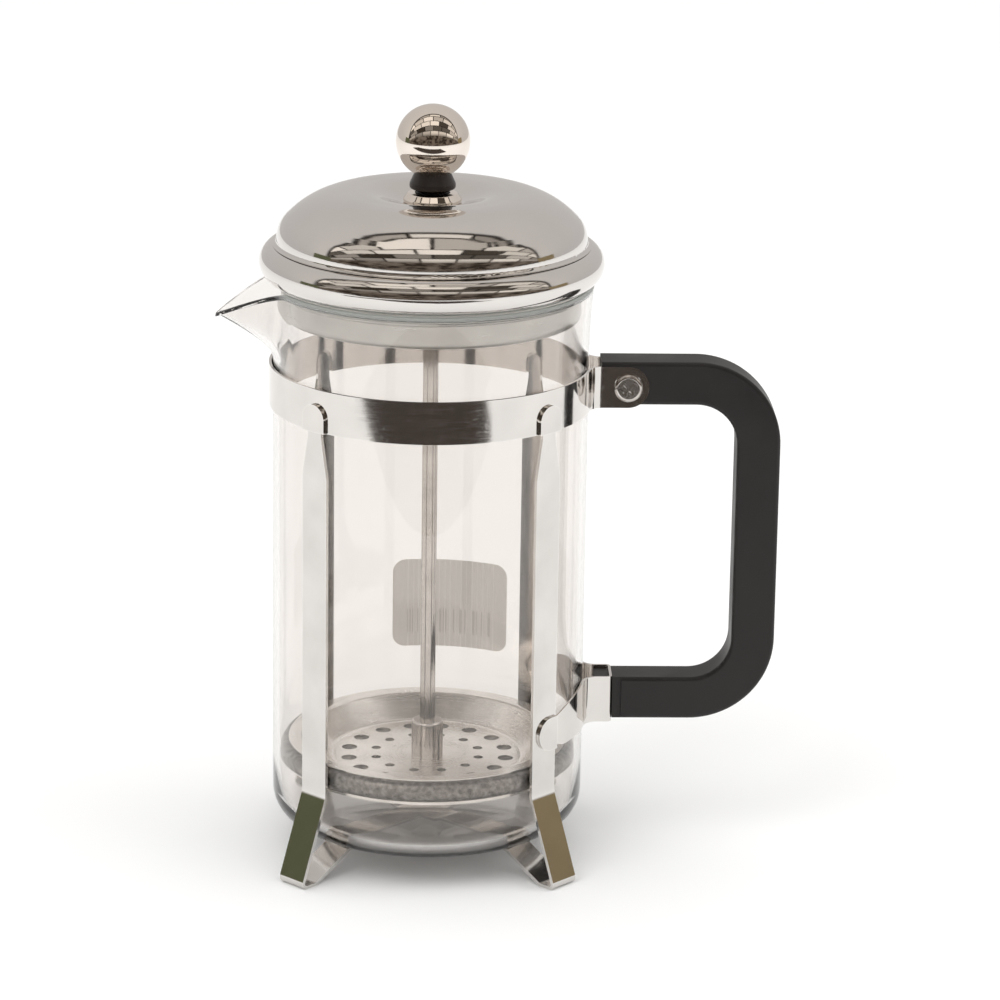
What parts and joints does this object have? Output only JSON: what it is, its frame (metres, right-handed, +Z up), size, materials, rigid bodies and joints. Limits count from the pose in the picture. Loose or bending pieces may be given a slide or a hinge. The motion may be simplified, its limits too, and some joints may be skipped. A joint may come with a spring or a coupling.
{
  "type": "french press",
  "caption": "Glass coffee press with a bent-strip metal frame, C-shaped black handle, domed metal lid and a filter plunger on a rod.",
  "frame": {"origin": "centre of the four feet, on the surface the press stands on, under the beaker's axis", "axes": "+Z up along the beaker's axis, +X towards the handle, the spout on -X"},
  "size_m": [0.172, 0.1042, 0.2336],
  "materials": {
    "clear_glass": "clear polished borosilicate glass",
    "label_paper": "matt paper, blank",
    "chrome_strip": "bright chrome-plated strip",
    "chrome_lid": "mirror-polished chrome",
    "brushed_steel": "dull stainless steel",
    "bright_plate": "bright pressed stainless steel",
    "bright_rod": "polished stainless steel",
    "bright_fastener": "plated steel",
    "steel_mesh": "fine woven steel wire",
    "spring_steel": "drawn spring wire",
    "black_plastic": "satin moulded black plastic",
    "black_bush": "plain black plastic"
  },
  "bodies": {
    "frame": {"leg_strip_upper": "chrome_strip", "leg_strip_lower": "chrome_strip", "clamp_band": "chrome_strip", "handle_bracket": "chrome_strip", "handle_grip": "black_plastic", "handle_screw": "bright_fastener", "handle_nut": "bright_fastener"},
    "beaker": {"glass_beaker": "clear_glass", "paper_label": "label_paper"},
    "lid": {"lid_dome": "chrome_lid", "lid_skirt": "brushed_steel", "lid_ferrule": "chrome_lid", "lid_washer": "bright_fastener", "lid_nut": "bright_fastener", "guide_bush": "black_bush"},
    "plunger": {"plunger_rod": "bright_rod", "knob_ball": "chrome_lid", "knob_collar": "black_plastic", "rod_hub": "bright_rod", "filter_plate": "bright_plate", "mesh_screen": "steel_mesh", "edge_spring": "spring_steel", "cross_plate": "bright_plate", "lock_washer": "bright_fastener", "plunger_nut": "bright_fastener"}
  },
  "joints": [
    {"name": "beaker_lift", "type": "slide", "parent": "frame", "child": "beaker", "axis": [0, 0, 1], "range_m": [0, 0.15]},
    {"name": "lid_lift", "type": "slide", "parent": "beaker", "child": "lid", "axis": [0, 0, 1], "range_m": [0, 0.165]},
    {"name": "plunger_slide", "type": "slide", "parent": "lid", "child": "plunger", "axis": [0, 0, 1], "range_m": [0, 0.13]}
  ]
}
